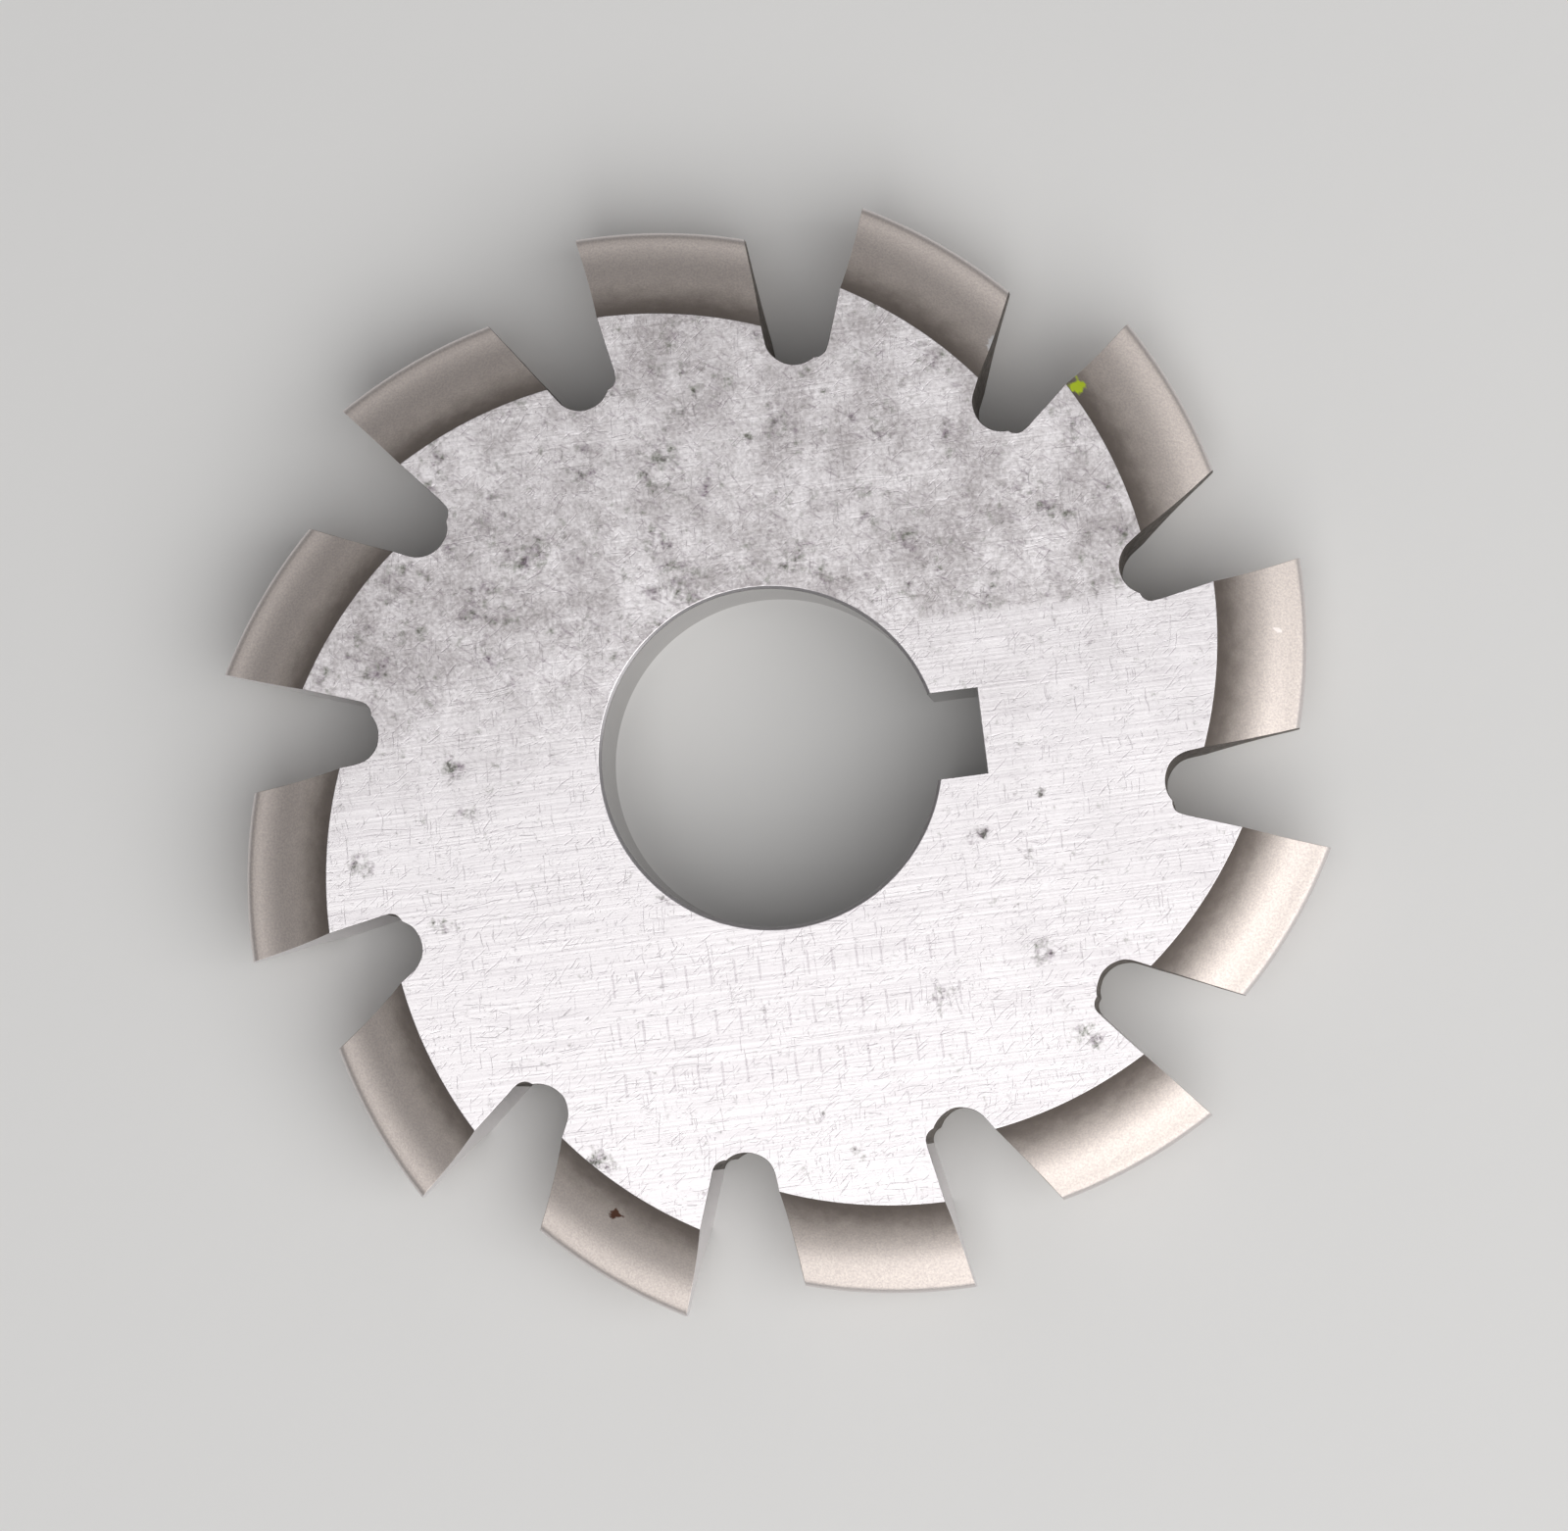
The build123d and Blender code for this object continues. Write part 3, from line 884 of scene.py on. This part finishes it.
def satin_flank(name, colours):
    """High-speed steel, form-relieved by grinding: an even satin, with a fine grain.

    A brown painted shade deepens towards the side faces, standing in for the dark surroundings
    that the deep flank reflects, and wear has brightened the rims of the tip. A few specks stick to
    it.
    """
    material, tree = new_material(name)
    place = add(tree, "TexCoord").outputs["Object"]
    depth = add(tree, "Attribute", attribute_name="flank_depth")
    grain = add(tree, "TexNoise", {
        "Vector": place, "Scale": 1 / (0.10 * MM), "Detail": 3.0, "Roughness": 0.6})
    clouds = add(tree, "TexNoise", {
        "Vector": place, "Scale": 1 / (0.9 * MM), "Detail": 6.0, "Roughness": 0.65})
    uneven = add(tree, "Math", {
        0: clouds.outputs["Fac"], 1: 0.20, 2: depth.outputs["Fac"]}, operation="MULTIPLY_ADD")
    # Painted shade: the flank turns brown and darker towards the side faces, in place of the dark
    # surroundings it reflects
    film = add(tree, "MapRange", {
        "Value": uneven, "From Min": 0.52, "From Max": 1.16}, interpolation_type="SMOOTHERSTEP")
    shade_darkened_flank = add(tree, "Mix", {
        SHARE: film, FIRST: colours.flank, SECOND: colours.flank_painted_shade}, data_type="RGBA")
    grained = add(tree, "MapRange", {
        "Value": grain.outputs["Fac"], "From Min": 0.35, "From Max": 0.65, "To Max": 0.24})
    grainy = add(tree, "Mix", {
        SHARE: grained, FIRST: shade_darkened_flank.outputs[MIXED], SECOND: colours.smudge}, data_type="RGBA")
    specked = add_specks(tree, place, grainy.outputs[MIXED])
    worn = add(tree, "MapRange", {
        "Value": depth.outputs["Fac"], "From Max": 0.06, "To Min": 0.8, "To Max": 0.0})
    colour = add(tree, "Mix", {
        SHARE: worn, FIRST: specked, SECOND: colours.ground}, data_type="RGBA")
    rough = add(tree, "MapRange", {"Value": grain.outputs["Fac"], "To Min": 0.46, "To Max": 0.58})
    rough = add(tree, "Math", {0: worn, 1: -0.2, 2: rough}, operation="MULTIPLY_ADD")
    steel(tree, colour.outputs[MIXED], rough, grain.outputs["Fac"], 0.008 * MM)
    return material


def wheel_ground_steel(name, colours):
    """High-speed steel, sharpened with a cup wheel: bright, with short lines along the axis."""
    material, tree = new_material(name)
    chart = add(tree, "UVMap", uv_map="surface").outputs["UV"]
    stretched = add(tree, "Mapping", {"Vector": chart, "Scale": (1, 0.04, 1)})
    lines = add(tree, "TexNoise", {"Vector": stretched, "Scale": 1 / GRINDING_LINES, "Detail": 2.0})
    rough = add(tree, "MapRange", {"Value": lines.outputs["Fac"], "To Min": 0.25, "To Max": 0.38})
    steel(tree, colours.ground, rough, lines.outputs["Fac"], 0.004 * MM)
    return material


def milled_steel(name, colours):
    """High-speed steel, gullets milled before hardening and left as hardened: dark and grainy.

    Specks of rust sit in the grain. The dark patches are partly scale and partly painted shade, for
    the shade that fills the gullets.
    """
    material, tree = new_material(name)
    place = add(tree, "TexCoord").outputs["Object"]
    grain = add(tree, "TexNoise", {
        "Vector": place, "Scale": 1 / (0.2 * MM), "Detail": 4.0, "Roughness": 0.6})
    patches = add(tree, "TexNoise", {
        "Vector": place, "Scale": 1 / (0.35 * MM), "Detail": 6.0, "Roughness": 0.75})
    # Dark patches: partly scale, partly painted shade for the shade in the gullets
    dark = add(tree, "MapRange", {
        "Value": patches.outputs["Fac"], "From Min": 0.36, "From Max": 0.60})
    scale_and_shade_mix = add(tree, "Mix", {
        SHARE: dark, FIRST: colours.gullet, SECOND: colours.scale}, data_type="RGBA")
    rusty = add(tree, "MapRange", {
        "Value": patches.outputs["Color"], "From Min": 0.62, "From Max": 0.70, "To Max": 0.7})
    colour = add(tree, "Mix", {
        SHARE: rusty, FIRST: scale_and_shade_mix.outputs[MIXED], SECOND: colours.rust}, data_type="RGBA")
    rough = add(tree, "MapRange", {"Value": grain.outputs["Fac"], "To Min": 0.36, "To Max": 0.66})
    steel(tree, colour.outputs[MIXED], rough, grain.outputs["Fac"], 0.05 * MM)
    return material


def bore_steel(name, colours):
    """High-speed steel, internally ground and worn by arbors: nearly a mirror.

    It mirrors what the cutter stands on, so the breaks at its mouths are what stands out. Its
    colour is darkened as painted shade, so that the wall looks as shaded as the hole it lines.
    """
    material, tree = new_material(name)
    chart = add(tree, "UVMap", uv_map="surface").outputs["UV"]
    stretched = add(tree, "Mapping", {"Vector": chart, "Scale": (0.02, 1, 1)})
    lines = add(tree, "TexNoise", {"Vector": stretched, "Scale": 1 / GRINDING_LINES, "Detail": 2.0})
    rough = add(tree, "MapRange", {"Value": lines.outputs["Fac"], "To Min": 0.10, "To Max": 0.20})
    # The darker bore colour is painted shade
    steel(tree, colours.bore, rough, lines.outputs["Fac"], 0.001 * MM)
    return material


def painted_floor(name, colours):
    """Matt painted board: plain and pale, with the faintest tooth to its surface."""
    material, tree = new_material(name)
    place = add(tree, "TexCoord").outputs["Object"]
    tooth = add(tree, "TexNoise", {"Vector": place, "Scale": 1 / (1.5 * MM), "Detail": 2.0})
    bump = add(tree, "Bump", {"Height": tooth.outputs["Fac"], "Distance": 0.01 * MM})
    shader = add(tree, "BsdfPrincipled", {
        "Base Color": colours.floor, "Roughness": 0.85, "Normal": bump.outputs["Normal"]})
    add(tree, "OutputMaterial", {"Surface": shader.outputs["BSDF"]})
    return material


# Pieces and stage

class BuildCutter(bpy.types.Operator):
    """Build the cutter's finished surface"""

    bl_idname = "gear_cutter.build_cutter"
    bl_label = "Build cutter"

    def execute(self, context):
        sizes = context.scene.cutter_sizes
        colours = context.scene.cutter_colours
        mesh = cutter_mesh(sizes)
        mesh.materials.append(ground_steel("surface_ground_steel", colours, True))
        mesh.materials.append(ground_steel("surface_ground_steel_underside", colours, False))
        mesh.materials.append(satin_flank("form_relieved_steel", colours))
        mesh.materials.append(wheel_ground_steel("wheel_ground_steel", colours))
        mesh.materials.append(milled_steel("milled_and_hardened_steel", colours))
        mesh.materials.append(bore_steel("internally_ground_steel", colours))
        body = bpy.data.objects.new("cutter_body", mesh)
        context.scene.collection.objects.link(body)
        worn = body.modifiers.new("edge_wear", "BEVEL")
        worn.width = sizes.edge_wear
        worn.segments = 2
        worn.limit_method = "ANGLE"
        worn.angle_limit = SHARP_EDGE
        worn.use_clamp_overlap = False
        worn.harden_normals = True
        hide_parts(CAD_NODE)
        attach(body, BODY)
        return {"FINISHED"}


def aimed(location, target):
    """Turn that points a light or a camera at a place from a location."""
    return (Vector(target) - Vector(location)).to_track_quat("-Z", "Y").to_matrix().to_4x4()


def add_light(scene, name, location, size, radiance, target):
    """A square soft box, aimed at a place. Its power is four times its radiance and its area."""
    data = bpy.data.lights.new(name, "AREA")
    data.size = size
    data.energy = 4 * radiance * size ** 2
    light = bpy.data.objects.new(name, data)
    light.matrix_world = Matrix.Translation(location) @ aimed(location, target)
    scene.collection.objects.link(light)


class BuildStage(bpy.types.Operator):
    """Build the floor, the lights and the camera"""

    bl_idname = "gear_cutter.build_stage"
    bl_label = "Build stage"

    def execute(self, context):
        scene = context.scene
        self.add_floor(scene)
        self.add_lights(scene)
        self.add_camera(scene)
        return {"FINISHED"}

    def add_floor(self, scene):
        """A square of floor that touches the cutter's underside."""
        corners = FLOOR_REACH * np.array([[-1, -1], [1, -1], [1, 1], [-1, 1]])
        points = np.column_stack([corners, np.full(4, CAD_LOW.z)])
        mesh = bpy.data.meshes.new("floor")
        mesh.from_pydata(points, [], [(0, 1, 2, 3)])
        mesh.materials.append(painted_floor("painted_board", scene.cutter_colours))
        floor = bpy.data.objects.new("floor", mesh)
        scene.collection.objects.link(floor)

    def add_lights(self, scene):
        """A wide soft box overhead, a second low at the lower right, and a dim pale room."""
        for box in SOFT_BOXES:
            add_light(scene, *box)
        world = bpy.data.worlds.new("room")
        world.use_nodes = True
        room = world.node_tree.nodes["Background"]
        room.inputs["Color"].default_value = linear(ROOM_COLOUR)
        room.inputs["Strength"].default_value = ROOM_STRENGTH
        scene.world = world
        scene.view_settings.view_transform = "Standard"

    def add_camera(self, scene):
        """The camera looks down on the side face from a little towards +X and -Y."""
        tilt_x, tilt_y, roll = CAMERA_TILT
        seen = (Matrix.Rotation(tilt_x, 4, "X") @ Matrix.Rotation(tilt_y, 4, "Y")
                @ Matrix.Rotation(roll, 4, "Z"))
        back = seen.inverted()
        data = bpy.data.cameras.new("camera")
        data.lens = CAMERA_LENS
        data.clip_start = CAMERA_NEAR
        camera = bpy.data.objects.new("camera", data)
        place = back @ Vector((*CAMERA_AIM, CAMERA_DISTANCE)) + Vector((0, 0, CAD_HIGH.z))
        camera.matrix_world = Matrix.Translation(place) @ back
        scene.collection.objects.link(camera)
        scene.camera = camera


class CutterPanel(bpy.types.Panel):
    """Lists what the script builds"""

    bl_idname = "VIEW3D_PT_gear_cutter"
    bl_label = "Gear cutter"
    bl_space_type = "VIEW_3D"
    bl_region_type = "UI"
    bl_category = "Cutter"

    def draw(self, context):
        scene = context.scene
        for group in (scene.cutter_sizes, scene.cutter_colours):
            box = self.layout.box()
            for name in group.__annotations__:
                box.prop(group, name)
        self.layout.operator(BuildCutter.bl_idname)
        self.layout.operator(BuildStage.bl_idname)


CLASSES = (CutterSizes, CutterColours, BuildCutter, BuildStage, CutterPanel)


def register():
    for cls in CLASSES:
        bpy.utils.register_class(cls)
    bpy.types.Scene.cutter_sizes = bpy.props.PointerProperty(type=CutterSizes)
    bpy.types.Scene.cutter_colours = bpy.props.PointerProperty(type=CutterColours)


def unregister():
    del bpy.types.Scene.cutter_colours
    del bpy.types.Scene.cutter_sizes
    for cls in reversed(CLASSES):
        bpy.utils.unregister_class(cls)


def main():
    register()
    bpy.ops.gear_cutter.build_cutter()
    bpy.ops.gear_cutter.build_stage()


if __name__ == "__main__":
    main()
